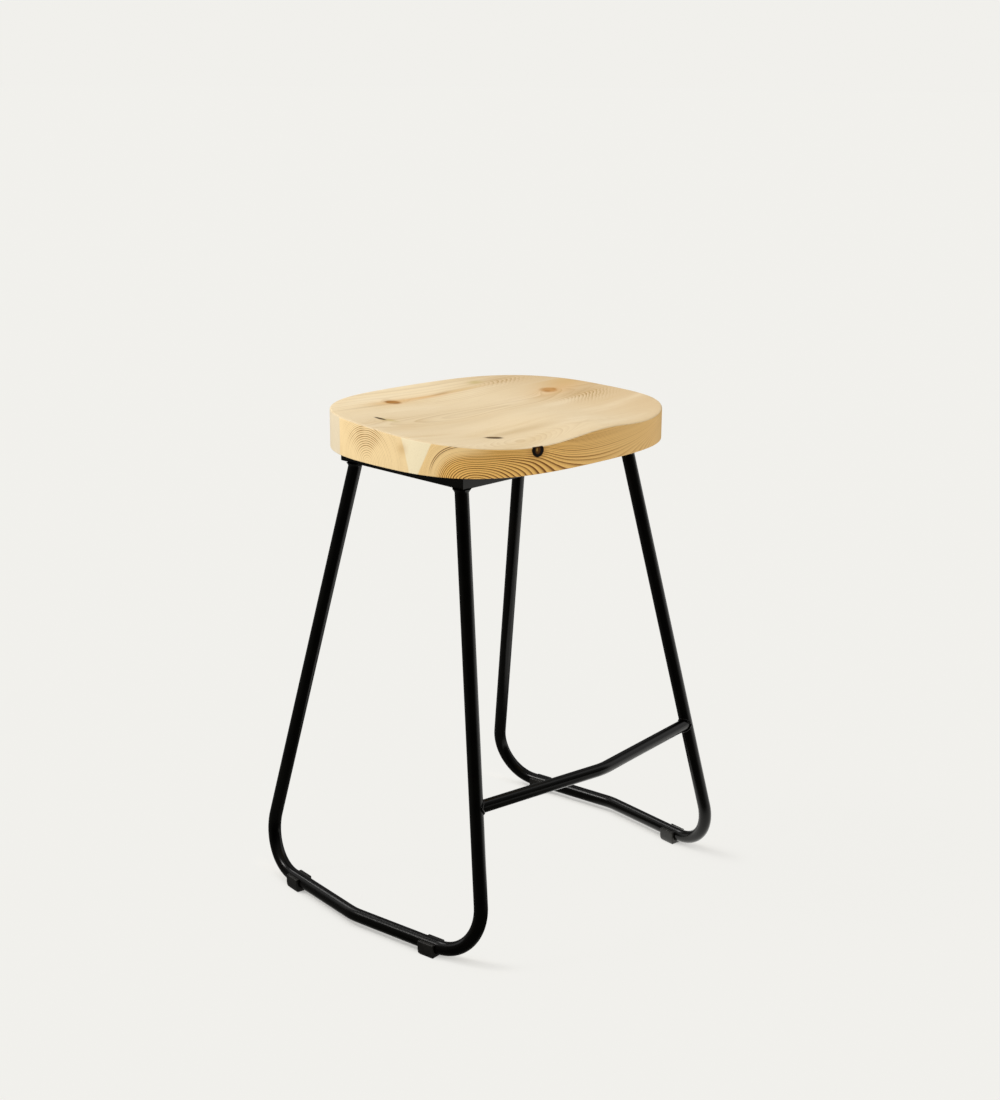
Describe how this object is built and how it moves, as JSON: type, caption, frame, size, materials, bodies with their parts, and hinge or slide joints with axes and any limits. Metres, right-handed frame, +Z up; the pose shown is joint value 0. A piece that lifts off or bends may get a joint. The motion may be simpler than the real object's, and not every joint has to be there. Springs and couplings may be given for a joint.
{
  "type": "bar stool",
  "caption": "Counter-height stool with a scooped solid wood seat on a black bent tube frame with sled runners and a bowed footrest.",
  "frame": {"origin": "on the floor, midway between the four feet", "axes": "+Z up; the front, where the footrest is, faces -Y; +X is to the sitter's left as the sitter faces -Y"},
  "size_m": [0.5118, 0.408, 0.64],
  "materials": {
    "seat_wood": "clear matt lacquer on natural pine, with knots and visible growth rings",
    "frame": "black satin powder coat",
    "foot": "black moulded, slightly matt",
    "screw": "bright zinc plate"
  },
  "bodies": {
    "root": {"seat_board_front": "seat_wood", "seat_board_middle": "seat_wood", "seat_board_rear": "seat_wood", "side_frame_left": "frame", "side_frame_right": "frame", "footrest_bar": "frame", "rail_front": "frame", "rail_rear": "frame", "rail_left": "frame", "rail_right": "frame", "seat_tab_front_left": "frame", "seat_tab_front_right": "frame", "seat_tab_rear_left": "frame", "seat_tab_rear_right": "frame", "seat_screw_front_left": "screw", "seat_screw_front_right": "screw", "seat_screw_rear_left": "screw", "seat_screw_rear_right": "screw", "foot_front_left": "foot", "foot_front_right": "foot", "foot_rear_left": "foot", "foot_rear_right": "foot"}
  },
  "joints": []
}
